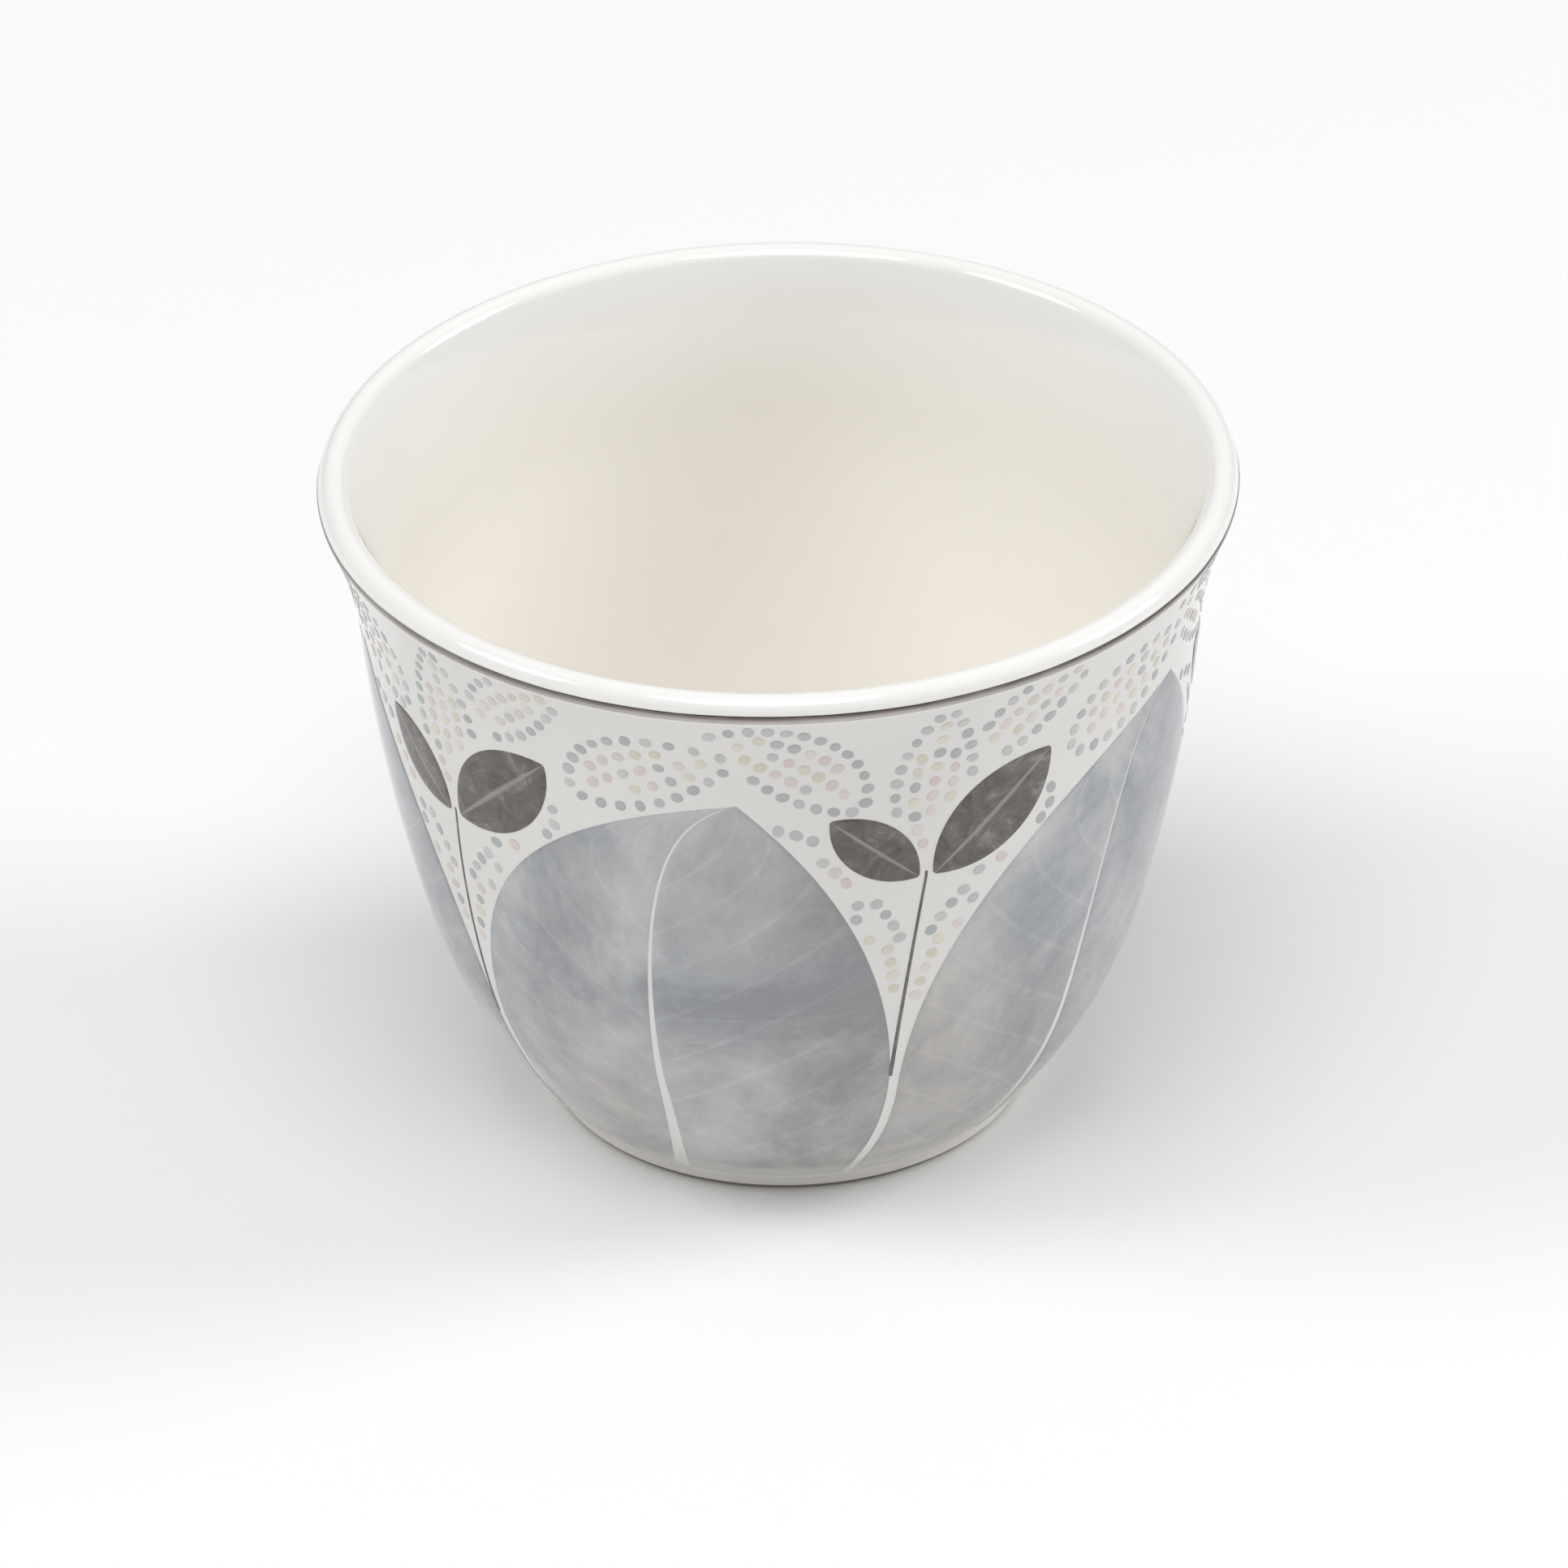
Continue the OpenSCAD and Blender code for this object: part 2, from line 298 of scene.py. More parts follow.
class Film:
    """Thin raised patches of fired colour that are gathered into one mesh."""

    def __init__(self):
        self.points = []
        self.faces = []
        self.uvs = []
        self.tones = []

    def patch(self, azimuth, z, u_range=(0, 1)):
        """A grid on the side, lifted inside and down on the glaze along its border."""
        rows, columns = azimuth.shape
        lift = np.full(azimuth.shape, FILM_T)
        lift[[0, -1], :] = EDGE_T
        lift[:, [0, -1]] = EDGE_T
        start = len(self.points)
        top = on_side(azimuth, z, lift).reshape(-1, 3)
        under = on_side(azimuth, z, np.full(azimuth.shape, -SUNK)).reshape(-1, 3)
        top_index = start + np.arange(rows * columns).reshape(rows, columns)
        under_index = top_index.copy()
        inner = np.zeros(azimuth.shape, bool)
        inner[1:-1, 1:-1] = True
        under_index[inner] = start + rows * columns + np.arange(inner.sum())
        self.points += top.tolist() + under[inner.ravel()].tolist()
        v, u = np.mgrid[0:1:rows * 1j, u_range[0]:u_range[1]:columns * 1j]
        flat_uv = np.stack([u, v], axis=-1).reshape(-1, 2)
        self.uvs += flat_uv.tolist() + flat_uv[inner.ravel()].tolist()
        for i in range(rows - 1):
            for j in range(columns - 1):
                a, b = top_index[i, j], top_index[i, j + 1]
                c, d = top_index[i + 1, j + 1], top_index[i + 1, j]
                self.faces.append([int(a), int(b), int(c), int(d)])
                a, b = under_index[i, j], under_index[i, j + 1]
                c, d = under_index[i + 1, j + 1], under_index[i + 1, j]
                self.faces.append([int(d), int(c), int(b), int(a)])

    def dot(self, azimuth, z, radius, stretch, lean, tone):
        """A small round spot of colour on the side."""
        angles = np.linspace(0, 2 * math.pi, DOT_SIDES, endpoint=False)
        start = len(self.points)
        ring_x, ring_y, lifts = [0], [0], [FILM_T]
        for share, lift_share in DOT_RING_SHARES:
            along = radius * share * stretch * np.cos(angles)
            across = radius * share / stretch * np.sin(angles)
            ring_x += (along * math.cos(lean) - across * math.sin(lean)).tolist()
            ring_y += (along * math.sin(lean) + across * math.cos(lean)).tolist()
            lifts += [FILM_T * lift_share] * DOT_SIDES
        ring_x.append(0)
        ring_y.append(0)
        lifts.append(-SUNK)
        r, out_r, _ = side(z)
        around = azimuth + np.degrees(np.array(ring_x) / r)
        self.points += on_side(around, z + np.array(ring_y) * out_r, np.array(lifts)).tolist()
        self.uvs += [[0.5, 0.5]] * len(lifts)
        self.tones += [tone] * len(lifts)
        for i in range(DOT_SIDES):
            j = (i + 1) % DOT_SIDES
            self.faces.append([start, start + 1 + i, start + 1 + j])
            for ring in range(len(DOT_RING_SHARES) - 1):
                a = start + 1 + ring * DOT_SIDES
                b = a + DOT_SIDES
                self.faces.append([a + i, b + i, b + j, a + j])
            last = start + 1 + (len(DOT_RING_SHARES) - 1) * DOT_SIDES
            self.faces.append([last + i, start + len(lifts) - 1, last + j])

    def line(self, turn, height, x, y, widths):
        """A thin brush line along points of a flat drawing."""
        x, y, widths = (np.asarray(a, float) for a in (x, y, widths))
        along_x, along_y = np.gradient(x), np.gradient(y)
        length = np.hypot(along_x, along_y)
        across_x, across_y = along_y / length, -along_x / length
        grid_x = x[:, None] + across_x[:, None] * LINE_SHARES * widths[:, None]
        grid_y = y[:, None] + across_y[:, None] * LINE_SHARES * widths[:, None]
        self.patch(*seen_flat(turn, height, grid_x, grid_y))

    def piece(self, name, material, slot):
        return make_piece(name, self.points, self.faces, material, self.uvs, self.tones or None)


# Materials


class Shader:
    """A material whose Principled shader starts with plain values, and gets nodes where they vary."""

    def __init__(self, name, **values):
        self.material = bpy.data.materials.new(name)
        self.material.use_nodes = True
        self.tree = self.material.node_tree
        self.bsdf = self.tree.nodes["Principled BSDF"]
        for key, value in values.items():
            self.bsdf.inputs[key.replace("_", " ")].default_value = value
        self.place = self.add("ShaderNodeTexCoord").outputs["Object"]

    def add(self, kind, **settings):
        node = self.tree.nodes.new(kind)
        for key, value in settings.items():
            setattr(node, key, value)
        return node

    def join(self, source, target):
        self.tree.links.new(source, target)

    def noise(self, scale, detail=3, roughness=0.5, distortion=0):
        node = self.add("ShaderNodeTexNoise")
        self.join(self.place, node.inputs["Vector"])
        node.inputs["Scale"].default_value = scale
        node.inputs["Detail"].default_value = detail
        node.inputs["Roughness"].default_value = roughness
        node.inputs["Distortion"].default_value = distortion
        return node.outputs["Fac"]

    def ramp(self, factor, *stops):
        """Colours or grey values at places from 0 to 1."""
        node = self.add("ShaderNodeValToRGB")
        band = node.color_ramp
        while len(band.elements) < len(stops):
            band.elements.new(0.5)
        for element, (place, value) in zip(band.elements, stops):
            element.position = place
            element.color = (*value, 1) if hasattr(value, "__len__") else (value, value, value, 1)
        self.join(factor, node.inputs["Fac"])
        return node.outputs["Color"]

    def mix(self, factor, a, b, blend="MIX"):
        node = self.add("ShaderNodeMix", data_type="RGBA", blend_type=blend)
        for index, value in ((0, factor), (6, a), (7, b)):
            if isinstance(value, bpy.types.NodeSocket):
                self.join(value, node.inputs[index])
            elif hasattr(value, "__len__"):
                node.inputs[index].default_value = (*value, 1)
            else:
                node.inputs[index].default_value = value
        return node.outputs[2]

    def calc(self, operation, a, b=0):
        node = self.add("ShaderNodeMath", operation=operation)
        for index, value in ((0, a), (1, b)):
            if isinstance(value, bpy.types.NodeSocket):
                self.join(value, node.inputs[index])
            else:
                node.inputs[index].default_value = value
        return node.outputs[0]

    def weigh(self, *parts):
        """Sum of grey values times their weights."""
        total = None
        for value, weight in parts:
            part = self.calc("MULTIPLY", value, weight)
            total = self.calc("ADD", total, part) if total else part
        return total

    def from_middle(self, across):
        """How far a place is from the middle of a leaf, as a share of its width."""
        return self.calc("ABSOLUTE", self.calc("SUBTRACT", across, 0.5))

    def tone(self):
        return self.add("ShaderNodeAttribute", attribute_name="tone").outputs["Fac"]

    def uv(self):
        node = self.add("ShaderNodeSeparateXYZ")
        self.join(self.add("ShaderNodeTexCoord").outputs["UV"], node.inputs[0])
        return node.outputs["X"], node.outputs["Y"]

    def height(self):
        """Height over the table in metres."""
        node = self.add("ShaderNodeSeparateXYZ")
        self.join(self.place, node.inputs[0])
        return node.outputs["Z"]

    def bump(self, *layers):
        """Relief from pairs of a grey value and its depth in metres."""
        normal = None
        for value, depth in layers:
            node = self.add("ShaderNodeBump")
            node.inputs["Strength"].default_value = 1
            node.inputs["Distance"].default_value = depth
            self.join(value, node.inputs["Height"])
            if normal:
                self.join(normal, node.inputs["Normal"])
            normal = node.outputs["Normal"]
        self.join(normal, self.bsdf.inputs["Normal"])

    def set(self, name, source):
        self.join(source, self.bsdf.inputs[name])


def glaze_relief(shader):
    """The glaze lies in long shallow waves, with a very fine dimpling."""
    shader.bump((shader.noise(95, 2), 0.00012), (shader.noise(900, 2), 0.000004))


def glazed_porcelain():
    shader = Shader("glazed_porcelain", Roughness=0.07, IOR=1.52)
    clouds = shader.noise(45, 3)
    # Painted shade: the ground colour under the print is greyer than the white of the lip and foot,
    # standing in for the shade on the outer wall
    painted_shade_ground = shader.ramp(clouds, (0.3, (0.795, 0.785, 0.76)), (0.7, (0.825, 0.815, 0.79)))
    white = shader.ramp(clouds, (0.3, (0.905, 0.9, 0.88)), (0.7, (0.92, 0.915, 0.895)))
    # Cream: deeper inside the bowl it is painted bounce light, standing in for warm light bounced
    # between the walls; the foot's glaze also leans towards it
    cream = shader.ramp(clouds, (0.3, (0.915, 0.885, 0.83)), (0.7, (0.925, 0.9, 0.85)))
    tint = shader.mix(shader.ramp(shader.tone(), (0, 0), (0.5, 1)), painted_shade_ground, white)
    tint = shader.mix(shader.ramp(shader.tone(), (0.5, 0), (1, 1)), tint, cream)
    cells = shader.add("ShaderNodeTexVoronoi")
    cells.inputs["Scale"].default_value = 170
    shader.join(shader.place, cells.inputs["Vector"])
    speck = shader.ramp(cells.outputs["Distance"], (0.02, 1), (0.045, 0))
    rare = shader.ramp(cells.outputs["Color"], (0.9, 0), (0.93, 1))
    specks = shader.calc("MULTIPLY", speck, rare)
    shader.set("Base Color", shader.mix(specks, tint, (0.32, 0.27, 0.2)))
    glaze_relief(shader)
    return shader.material


def biscuit_porcelain():
    shader = Shader("biscuit_porcelain", Roughness=0.8, IOR=1.45)
    grain = shader.noise(2200, 4, 0.7)
    tint = shader.ramp(shader.noise(260, 4), (0.3, (0.66, 0.62, 0.55)), (0.7, (0.76, 0.73, 0.67)))
    tint = shader.mix(shader.ramp(grain, (0.45, 0.35), (0.75, 0)), tint, (0.5, 0.46, 0.4))
    # Painted contact shade: the bare ring darkens towards the table, standing in for the shadow in the
    # contact line under the foot
    painted_contact_shade = shader.ramp(shader.calc("DIVIDE", shader.height(), BARE_H * MM), (0.2, 1), (1, 0))
    shader.set("Base Color", shader.mix(painted_contact_shade, tint, (0.3, 0.26, 0.22)))
    shader.bump((grain, 0.00006))
    return shader.material


def platinum():
    """Thin fired metal, darker where it lies thick at its upper edge and brownish where it thins out."""
    shader = Shader("platinum_lustre", Metallic=1.0)
    share = shader.calc("SUBTRACT", shader.height(), BAND_LOW * MM)
    share = shader.calc("DIVIDE", share, (BAND_HIGH - BAND_LOW) * MM)
    share = shader.weigh((share, 1), (shader.noise(160, 4), 0.2))
    colour = shader.ramp(
        share,
        (0.12, (0.5, 0.44, 0.4)),
        (0.34, (0.5, 0.46, 0.43)),
        (0.56, (0.34, 0.31, 0.29)),
        (0.72, (0.16, 0.138, 0.124)),
        (0.98, (0.11, 0.096, 0.087)),
    )
    worn = shader.ramp(shader.noise(58, 4, 0.6), (0.42, 0), (0.66, 0.6))
    shader.set("Base Color", shader.mix(worn, colour, (0.46, 0.43, 0.41)))
    shader.set("Roughness", shader.ramp(shader.noise(700, 4), (0.3, 0.16), (0.75, 0.34)))
    shader.bump((shader.noise(120, 3), 0.0001), (shader.noise(1500, 3), 0.000008))
    return shader.material


def grey_wash():
    """Blue-grey like watercolour: clouds and fine mottling, pooled edges, and faint veins."""
    shader = Shader("grey_wash_enamel", Roughness=0.1, IOR=1.52)
    across, along = shader.uv()
    clouds = shader.noise(68, 6, 0.6, 0.8)
    mottle = shader.noise(380, 5, 0.65, 0.3)
    grain = shader.noise(1500, 3, 0.7)
    to_right = shader.ramp(across, (0, 0), (0.35, 0.45), (0.7, 0.9), (1, 0.8))
    upward = shader.ramp(along, (0, 0), (0.65, 1), (1, 0.7))
    from_rib = shader.from_middle(across)
    pooled = shader.ramp(from_rib, (0.46, 0), (0.497, 1))
    sweep = shader.weigh((along, 9), (from_rib, -5))
    vein = shader.ramp(shader.calc("FRACT", sweep), (0.03, 1), (0.13, 0))
    colour = shader.ramp(
        shader.weigh(
            (clouds, 0.74), (mottle, 0.18), (grain, 0.08),
            (to_right, 0.11), (upward, 0.09), (pooled, 0.06), (vein, -0.038),
        ),
        (0.42, (0.62, 0.622, 0.622)),
        (0.54, (0.51, 0.518, 0.53)),
        (0.64, (0.395, 0.41, 0.432)),
        (0.76, (0.29, 0.305, 0.333)),
    )
    warmth = shader.weigh((shader.noise(52, 3, 0.5, 0.4), 1), (along, -0.12))
    warmth = shader.ramp(warmth, (0.36, 0), (0.58, 1))
    colour = shader.mix(warmth, colour, (1.03, 0.975, 0.915), "MULTIPLY")
    thin = shader.ramp(along, (0.004, 0.85), (0.035, 0))
    shader.set("Base Color", shader.mix(thin, colour, (0.82, 0.815, 0.78)))
    glaze_relief(shader)
    return shader.material


def dark_enamel():
    """Dark taupe, brushed on unevenly, with a thin lighter rib."""
    shader = Shader("dark_enamel", Roughness=0.12, IOR=1.52)
    across, _ = shader.uv()
    mottle = shader.noise(430, 6, 0.7, 1.2)
    colour = shader.ramp(
        mottle,
        (0.35, (0.085, 0.074, 0.068)),
        (0.55, (0.15, 0.133, 0.124)),
        (0.7, (0.27, 0.248, 0.232)),
    )
    rib = shader.ramp(shader.from_middle(across), (0.012, 0.6), (0.04, 0))
    shader.set("Base Color", shader.mix(rib, colour, (0.4, 0.385, 0.37)))
    glaze_relief(shader)
    return shader.material


def dot_enamel(name, light, dark):
    shader = Shader(name, Roughness=0.12, IOR=1.52)
    tone = shader.weigh((shader.tone(), 1), (shader.noise(800, 3), 0.5))
    shader.set("Base Color", shader.ramp(tone, (0.35, light), (1.1, dark)))
    return shader.material


GLAZE = glazed_porcelain()
BISCUIT = biscuit_porcelain()
PLATINUM = platinum()
WASH = grey_wash()
DARK = dark_enamel()
SLATE_DOTS = dot_enamel("slate_dot_enamel", (0.61, 0.62, 0.61), (0.46, 0.48, 0.485))
ROSE_DOTS = dot_enamel("rose_dot_enamel", (0.78, 0.705, 0.665), (0.71, 0.615, 0.575))
SAND_DOTS = dot_enamel("sand_dot_enamel", (0.775, 0.735, 0.635), (0.7, 0.655, 0.545))


# Porcelain, glaze and metal


def porcelain_body():
    outline, _ = cup_outline(GLAZE_T)
    body = lathe("fired_body", outline, BISCUIT)
    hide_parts("porcelain_body")


# Inside, the glaze turns from white to cream over this much height under the lip: painted warm bounce
# light deeper in the bowl
CREAM_FADE = 6
# Under the print the ground is painted a little greyer, as painted shade on the outer wall, from this
# far over the print's lower edge
GROUND_FADE = 0.6
# Tones of the glaze at the lip and at the foot, where 0 is the painted-shade grey under the print and 1
# is cream
WHITE_TONE = 0.5
FOOT_TONE = 0.9


def glaze_shells():
    """The glaze over all but the foot ring's bare face, as a large shell and one in the recess."""
    finished, side_start = cup_outline(0)
    fired, fired_side_start = cup_outline(GLAZE_T)
    outer = np.vstack([[[FOOT_R, BARE_H]], finished[side_start:]])
    inner = np.vstack([[[FOOT_R - GLAZE_T, BARE_H]], fired[fired_side_start:]])
    coat_outline = shell(outer, inner)
    height = coat_outline[:, 1]
    past_lip = np.arange(len(coat_outline)) > np.argmax(height)
    # Painted bounce light: inside, deeper under the lip, the glaze turns cream
    painted_bounce_tones = WHITE_TONE + (1 - WHITE_TONE) * np.clip((LIP_C[1] - height) / CREAM_FADE, 0, 1)
    # Painted shade: under the print the side takes the greyer ground colour
    printed = (height > PRINT_LOW + GROUND_FADE) & (height < BAND_LOW)
    bare = np.where(height > BAND_LOW, WHITE_TONE, FOOT_TONE)
    tones = np.where(past_lip, painted_bounce_tones, np.where(printed, 0, bare))
    coat = lathe("glaze_outside_and_inside", coat_outline, GLAZE, tones=tones)
    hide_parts("glaze_coat")
    ring_in, fired_in = FOOT_R - FOOT_W, FOOT_R - FOOT_W + GLAZE_T
    lower = np.array([[0, RECESS_H], [ring_in, RECESS_H], [ring_in, BARE_H]])
    upper = np.array([[0, RECESS_H + GLAZE_T], [fired_in, RECESS_H + GLAZE_T], [fired_in, BARE_H]])
    recess_outline = shell(lower, upper)
    tones = np.full(len(recess_outline), WHITE_TONE)
    recess = lathe("glaze_in_recess", recess_outline, GLAZE, tones=tones)
    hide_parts("glaze_coat")


def shell(one, other):
    """Closed outline between two outlines."""
    return np.vstack([one, other[::-1]])


# Furthest that the edges of the band waver, and how many waves of each kind there are around the cup
BAND_WAVER = 0.09
BAND_WAVES = (2, 3, 5, 9, 14, 23, 37, 61)
# Rows of points over the face of the band
BAND_ROWS = 9


def rim_band():
    """The band is drawn by hand on a wheel, so its edges waver a little."""
    turns = np.linspace(0, 360, BAND_STEPS, endpoint=False)
    rng = np.random.default_rng(SEED)

    def waver():
        wave = sum(
            np.sin(np.radians(n * turns + rng.uniform(0, 360))) / math.sqrt(n)
            for n in BAND_WAVES
        )
        return BAND_WAVER * (wave / np.abs(wave).max() - 1) / 2

    low, high = BAND_LOW - waver(), BAND_HIGH - BAND_WAVER + waver()
    outer = [(share, BAND_T if 0 < share < 1 else EDGE_T) for share in np.linspace(0, 1, BAND_ROWS)]
    inner = [(share, -SUNK) for share in np.linspace(1, 0, BAND_ROWS)[1:-1]]
    rings = np.array([on_side(turns, low + (high - low) * share, lift) for share, lift in outer + inner])
    count = len(rings)
    faces = []
    for ring in range(count):
        lower, upper = ring * BAND_STEPS, (ring + 1) % count * BAND_STEPS
        for i in range(BAND_STEPS):
            j = (i + 1) % BAND_STEPS
            faces.append([lower + i, lower + j, upper + j, upper + i])
    band = make_piece("platinum_band", rings.reshape(-1, 3), faces, PLATINUM)
    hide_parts("platinum_rim_band")


# Print


def right_edge(y):
    """Place of a broad leaf's long edge beside its right notch."""
    return -RIGHT_EDGE_R + np.sqrt(RIGHT_EDGE_R ** 2 - np.asarray(y, float) ** 2)


def left_edge(y):
    """Place of a broad leaf's left edge beside its left notch. Lower down it follows its neighbour."""
    y = np.asarray(y, float)
    over = LEFT_EDGE_R + LEAF_GAP - np.sqrt(np.maximum(LEFT_EDGE_R ** 2 - y ** 2, 0))
    return np.where(y > 0, over, LEAF_GAP + right_edge(y))


def notch_turn(index):
    return (index + 1) * LEAF_TURN


def leaf_span(index, z):
    """Azimuths of a broad leaf's two edges at these heights."""
    y = np.asarray(z, float) - NOTCH_Z
    left, _ = seen_flat(notch_turn(index - 1), NOTCH_Z, left_edge(y), y)
    right, _ = seen_flat(notch_turn(index), NOTCH_Z, right_edge(y), y)
    return left, right


def leaf_tip():
    """Height at which a broad leaf's edges meet."""
    low, high = NOTCH_Z, min(BAND_LOW, NOTCH_Z + LEFT_EDGE_R)
    for _ in range(50):
        middle = (low + high) / 2
        left, right = leaf_span(0, middle)
        low, high = (middle, high) if left < right else (low, middle)
    return low


# White midrib of a broad leaf: its widths at foot and tip, how fast it narrows, and its place and its
# largest half width as shares of the leaf
MIDRIB_FOOT_W = 1.1
MIDRIB_TIP_W = 0.2
MIDRIB_TAPER = 2.5
MIDRIB_PLACE_SHARE = 0.46
MIDRIB_HALF_SHARE = 0.1
# Points up a broad leaf and across each of its halves, and its least width at the tip in degrees
LEAF_ROWS = 90
HALF_LEAF_COLUMNS = 22
TIP_TURN = 0.05
# The soft border of a half leaf is no wider than this share of it
SOFT_EDGE_SHARE = 0.25


def broad_leaves():
    tip = leaf_tip()
    heights = np.insert(np.linspace(PRINT_LOW + SOFT_FOOT, tip, LEAF_ROWS), 0, PRINT_LOW)
    up = (heights - PRINT_LOW) / (tip - PRINT_LOW)
    r, _, _ = side(heights)
    rib = MIDRIB_TIP_W + (MIDRIB_FOOT_W - MIDRIB_TIP_W) * (1 - up) ** MIDRIB_TAPER
    for index in range(LEAF_COUNT):
        left, right = leaf_span(index, heights)
        right = np.maximum(right, left + TIP_TURN)
        middle = left + (right - left) * MIDRIB_PLACE_SHARE
        half_rib = np.minimum(np.degrees(rib / 2 / r), MIDRIB_HALF_SHARE * (right - left))
        film = Film()
        left_half = (left, middle - half_rib, (0, 0.5))
        right_half = (middle + half_rib, right, (0.5, 1))
        for from_turn, to_turn, u_range in (left_half, right_half):
            width = np.radians(to_turn - from_turn) * r
            edge = np.minimum(SOFT_EDGE / width, SOFT_EDGE_SHARE)
            inside = np.linspace(0, 1, HALF_LEAF_COLUMNS) * (1 - 2 * edge[:, None]) + edge[:, None]
            shares = np.hstack([np.zeros((len(heights), 1)), inside, np.ones((len(heights), 1))])
            azimuth = from_turn[:, None] + (to_turn - from_turn)[:, None] * shares
            z = np.repeat(heights[:, None], azimuth.shape[1], axis=1)
            film.patch(azimuth, z, u_range)
        leaf = film.piece(f"broad_leaf_{index + 1}", WASH, "grey_wash_enamel")
        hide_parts("print_broad_leaves")


def bent_axis(foot, lean, length, bend, count=60):
    """Points and right-hand normals of a gently bent axis of a leaf in a flat drawing."""
    share = np.linspace(0, 1, count)
    heading = np.radians(lean + bend * share)
    step = length / (count - 1)
    x = foot[0] + np.concatenate([[0], np.cumsum(np.sin(heading[:-1]) * step)])
    y = foot[1] + np.concatenate([[0], np.cumsum(np.cos(heading[:-1]) * step)])
    return share, x, y, np.cos(heading), -np.sin(heading)


# Sprout: a stem with a large and a small dark leaf, in the flat drawing of a notch
SPROUT_X = 1.6
SPROUT_RISE = 20
DARK_LEAF_L = 12
DARK_LEAF_W = 6
SMALL_LEAF_SHARE = 0.72
DARK_LEAF_APART = 0.5
DARK_LEAF_SPREAD = 48
# Rows and columns of a dark leaf, as shares of its length and of its half width
DARK_ROW_SHARES = np.linspace(0.01, 0.99, 34)
DARK_COLUMN_SHARES = np.array([-1, -0.9, -0.6, -0.3, 0, 0.3, 0.6, 0.9, 1])
# The stem starts this far over the notch, ends this far over the leaves' feet, and bends this fast
STEM_START = 1.5
STEM_OVER = 0.4
STEM_BEND = 1.6
STEM_FOOT_W = 0.3
STEM_TOP_W = 0.2
STEM_POINTS = 40


def dark_leaf_sizes(mirror):
    """Length, width and radius of the two edges of a dark leaf. The large one is to the right."""
    share = SMALL_LEAF_SHARE if mirror > 0 else 1
    length, width = DARK_LEAF_L * share, DARK_LEAF_W * share
    return length, width, (length ** 2 + width ** 2) / (4 * width)


def dark_leaf_half(mirror, along):
    """Half of a dark leaf's width, this far up from its foot."""
    length, width, edge_r = dark_leaf_sizes(mirror)
    return np.sqrt(edge_r ** 2 - (along - length / 2) ** 2) - (edge_r - width / 2)


def near_sprout(x, y, room):
    """Whether a place lies on the stem or on a dark leaf, or too close to them."""
    if y < SPROUT_RISE + room and abs(x - stem_x(y)) < room:
        return True
    for mirror in (-1, 1):
        lean = rad(mirror * DARK_LEAF_SPREAD)
        from_x, from_y = x - SPROUT_X + mirror * DARK_LEAF_APART, y - SPROUT_RISE
        across = from_x * math.cos(lean) + from_y * math.sin(lean)
        along = -from_x * math.sin(lean) + from_y * math.cos(lean)
        length, _, _ = dark_leaf_sizes(mirror)
        half = dark_leaf_half(mirror, min(max(along, 0), length))
        if -room < along < length + room and abs(across) < half + room:
            return True
    return False


# A dotted leaf: foot, lean, length, width and bend in the flat drawing of a notch
DOTTED_LEAVES = [
    ((-0.4, 7), -6, 12.5, 3.4, -12),
    ((1.2, 6), 10, 13, 3.4, 16),
    ((1.7, 22.4), 2, 12.2, 5.6, 6),
    ((-3.2, 26.6), -36, 13, 5.6, -44),
    ((13, 26.6), 50, 11, 5.4, 30),
    ((5.6, 29), 38, 10, 4.4, 36),
    ((-2.6, 17.6), -38, 10, 3.6, -6),
    ((4.6, 16.4), 36, 11, 2.2, 12),
]
DOT_R = 0.45
DOT_STEP = 1.26
# Least distances of a dot: to dots of its own leaf and of other leaves, to edges, and to the sprout
DOT_ROOM = 1.16
LEAF_ROOM = 1.6
EDGE_ROOM = 0.68
SPROUT_ROOM = 0.72
# Share of the dots inside a leaf that are slate like its border
SLATE_SHARE = 0.15
# Range of the dots' sizes as shares of DOT_R, and how far a dot may be stretched
DOT_SIZE_SHARES = (0.88, 1.08)
DOT_STRETCH = 1.12
# Shape of a dotted leaf: under 1, its widest place lies lower, and its ends are fuller
BELLY_POWER = 0.85
FULL_POWER = 0.7


def inside_notch(x, y):
    """Whether a place lies on the white ground between two broad leaves and under the band."""
    top = BAND_LOW - NOTCH_Z - EDGE_ROOM
    return right_edge(y) + EDGE_ROOM < x < left_edge(y) - EDGE_ROOM and y < top


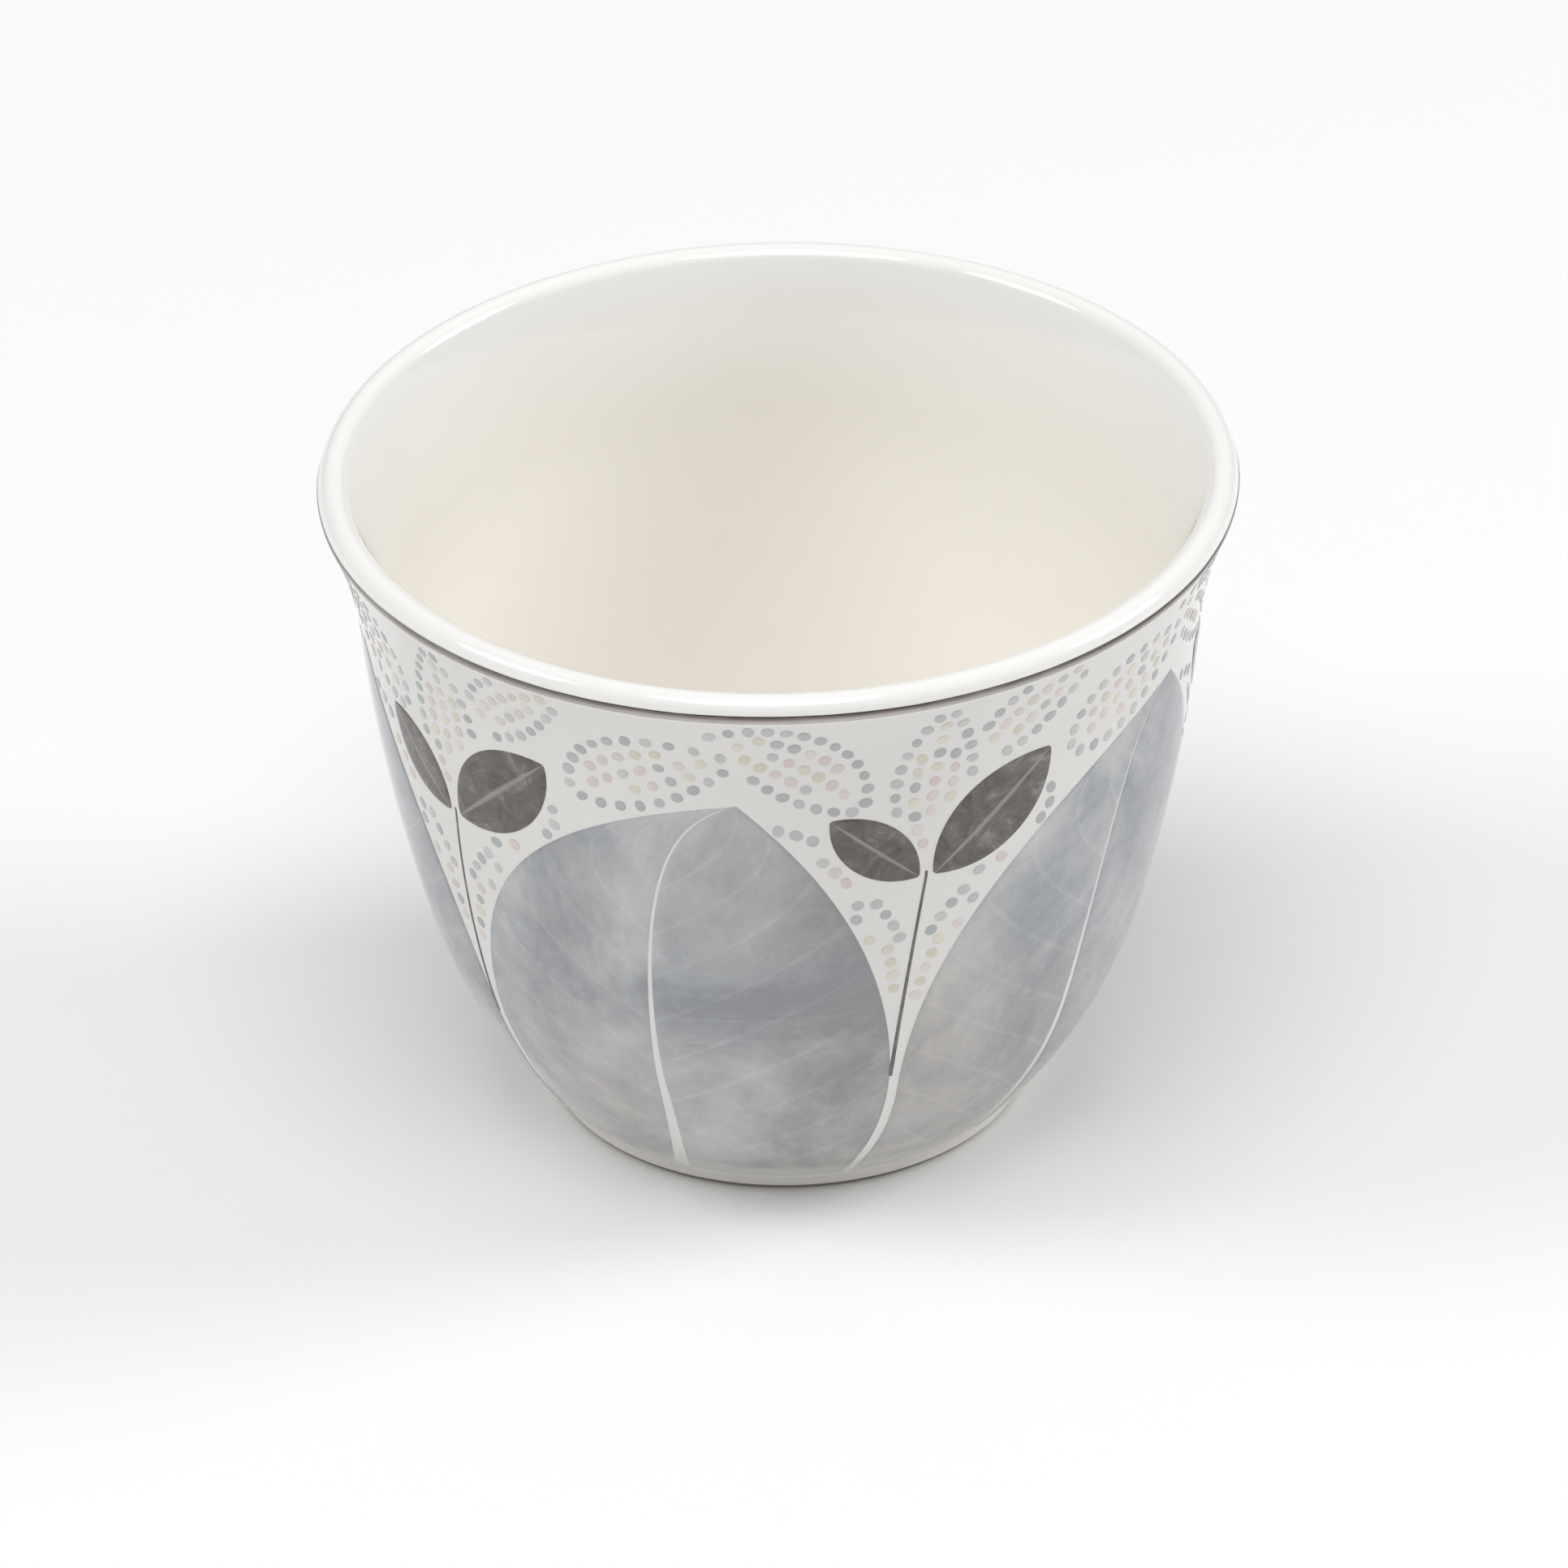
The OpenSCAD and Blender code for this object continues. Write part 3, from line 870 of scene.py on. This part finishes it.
def dotted_leaves():
    """Rows of dots along each leaf's axis. A dot that would come too close to another is left out."""
    rng = np.random.default_rng(SEED)
    films = {"slate": Film(), "rose": Film(), "sand": Film()}
    placed = np.empty((0, 3))
    leaf_of = np.empty(0, int)
    for index in range(LEAF_COUNT):
        for number, (foot, lean, length, width, bend) in enumerate(DOTTED_LEAVES):
            this_leaf = index * len(DOTTED_LEAVES) + number
            share, x, y, side_x, side_y = bent_axis(foot, lean, length, bend)
            half = width / 2 * np.sin(math.pi * share ** BELLY_POWER) ** FULL_POWER
            rows = round(width / DOT_STEP)
            for row in sorted(range(rows + 1), key=lambda n: -abs(n - rows / 2)):
                across = -1 + 2 * row / rows
                row_x, row_y = x + side_x * half * across, y + side_y * half * across
                run = np.concatenate([[0], np.cumsum(np.hypot(np.diff(row_x), np.diff(row_y)))])
                for place in np.arange(DOT_STEP / 2, run[-1], DOT_STEP):
                    dot_x, dot_y = np.interp(place, run, row_x), np.interp(place, run, row_y)
                    azimuth, z = seen_flat(notch_turn(index), NOTCH_Z, dot_x, dot_y)
                    spot = on_side(azimuth, z, 0)
                    away = np.linalg.norm(placed - spot, axis=1)
                    near = np.any(away < np.where(leaf_of == this_leaf, DOT_ROOM, LEAF_ROOM))
                    if near or not inside_notch(dot_x, dot_y) or near_sprout(dot_x, dot_y, SPROUT_ROOM):
                        continue
                    placed = np.vstack([placed, spot])
                    leaf_of = np.append(leaf_of, this_leaf)
                    outer = abs(across) == 1 or rng.random() < SLATE_SHARE
                    warm = "rose" if rng.random() > place / run[-1] else "sand"
                    films["slate" if outer else warm].dot(
                        azimuth, z, DOT_R * rng.uniform(*DOT_SIZE_SHARES),
                        rng.uniform(1, DOT_STRETCH), rng.uniform(0, math.pi), rng.random(),
                    )
    for kind, material in (("slate", SLATE_DOTS), ("rose", ROSE_DOTS), ("sand", SAND_DOTS)):
        films[kind].piece(f"{kind}_dots", material, "grey_wash_enamel")


def stem_x(y):
    """The stem rises from the notch and bends gently over to the dark leaves."""
    share = np.clip(np.asarray(y, float) / SPROUT_RISE, 0, 1)
    return SPROUT_X * share ** STEM_BEND


def stems():
    film = Film()
    y = np.linspace(STEM_START, SPROUT_RISE + STEM_OVER, STEM_POINTS)
    widths = np.linspace(STEM_FOOT_W, STEM_TOP_W, STEM_POINTS)
    for index in range(LEAF_COUNT):
        film.line(notch_turn(index), NOTCH_Z, stem_x(y), y, widths)
    film.piece("stems", DARK, "dark_enamel")


def dark_leaves():
    film = Film()
    for index in range(LEAF_COUNT):
        for mirror in (-1, 1):
            lean = rad(mirror * DARK_LEAF_SPREAD)
            length, _, _ = dark_leaf_sizes(mirror)
            along = DARK_ROW_SHARES * length
            leaf_x = DARK_COLUMN_SHARES[None, :] * dark_leaf_half(mirror, along)[:, None]
            leaf_y = np.repeat(along[:, None], len(DARK_COLUMN_SHARES), axis=1)
            x = SPROUT_X - mirror * DARK_LEAF_APART + leaf_x * math.cos(lean) - leaf_y * math.sin(lean)
            y = SPROUT_RISE + leaf_x * math.sin(lean) + leaf_y * math.cos(lean)
            film.patch(*seen_flat(notch_turn(index), NOTCH_Z, x, y))
    leaves = film.piece("dark_leaves", DARK, "dark_enamel")
    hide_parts("print_dark_leaves")


# Stage, light and camera


def stage_material():
    shader = Shader("stage_floor", Roughness=0.9)
    shader.bsdf.inputs["Base Color"].default_value = (0.93, 0.93, 0.93, 1)
    shader.bsdf.inputs["Specular IOR Level"].default_value = 0
    return shader.material


# How far the floor reaches from the cup, in metres
FLOOR_REACH = 6


def floor():
    corners = [(x * FLOOR_REACH, y * FLOOR_REACH, 0) for x, y in ((-1, -1), (1, -1), (1, 1), (-1, 1))]
    mesh = bpy.data.meshes.new("floor")
    mesh.from_pydata(corners, [], [(0, 1, 2, 3)])
    mesh.materials.append(stage_material())
    plane = bpy.data.objects.new("floor", mesh)
    bpy.context.scene.collection.objects.link(plane)


def area_light(name, place, aim, size, power):
    """A round lamp. Its place and its size are in metres and its power is in watts."""
    data = bpy.data.lights.new(name, "AREA")
    data.shape = "DISK"
    data.size = size
    data.energy = power
    lamp = bpy.data.objects.new(name, data)
    lamp.location = place
    lamp.rotation_euler = (Vector(aim) - Vector(place)).to_track_quat("-Z", "Y").to_euler()
    bpy.context.scene.collection.objects.link(lamp)


def lights():
    world = bpy.data.worlds.new("studio")
    bpy.context.scene.world = world
    world.use_nodes = True
    tree = world.node_tree
    background = tree.nodes["Background"]
    upward = tree.nodes.new("ShaderNodeSeparateXYZ")
    tree.links.new(tree.nodes.new("ShaderNodeTexCoord").outputs["Generated"], upward.inputs[0])
    sky = tree.nodes.new("ShaderNodeValToRGB")
    for element, (place, value) in zip(sky.color_ramp.elements, ((0.05, 0.22), (0.75, 0.47))):
        element.position = place
        element.color = (value, value, value, 1)
    tree.links.new(upward.outputs["Z"], sky.inputs["Fac"])
    tree.links.new(sky.outputs["Color"], background.inputs["Color"])
    middle = (0, 0, CUP_H / 2 * MM)
    area_light("top_softbox", (-0.05, -0.4, 1.15), middle, 0.8, 5.2)
    area_light("right_softbox", (0.92, 0.12, 0.68), middle, 0.5, 4.2)
    area_light("left_softbox", (-0.78, -0.12, 0.86), middle, 0.5, 3.1)


CAMERA_PLACE = Vector((28.5, -1068.4, 677.4))
CAMERA_LENS = 410
CAMERA_ROLL = -1.1
CAMERA_AIM_SHARE = 0.47
CAMERA_NEAR = 50


def camera():
    data = bpy.data.cameras.new("camera")
    data.lens = CAMERA_LENS
    data.clip_start = CAMERA_NEAR * MM
    view = bpy.data.objects.new("camera", data)
    aim = Vector((0, 0, CUP_H * CAMERA_AIM_SHARE))
    view.location = CAMERA_PLACE * MM
    level = (aim - CAMERA_PLACE).to_track_quat("-Z", "Y")
    view.rotation_euler = (level @ Quaternion((0, 0, 1), rad(CAMERA_ROLL))).to_euler()
    bpy.context.scene.collection.objects.link(view)
    bpy.context.scene.camera = view


camera()
lights()
floor()
porcelain_body()
glaze_shells()
rim_band()
broad_leaves()
dotted_leaves()
stems()
dark_leaves()

bpy.context.scene.view_settings.view_transform = "Standard"
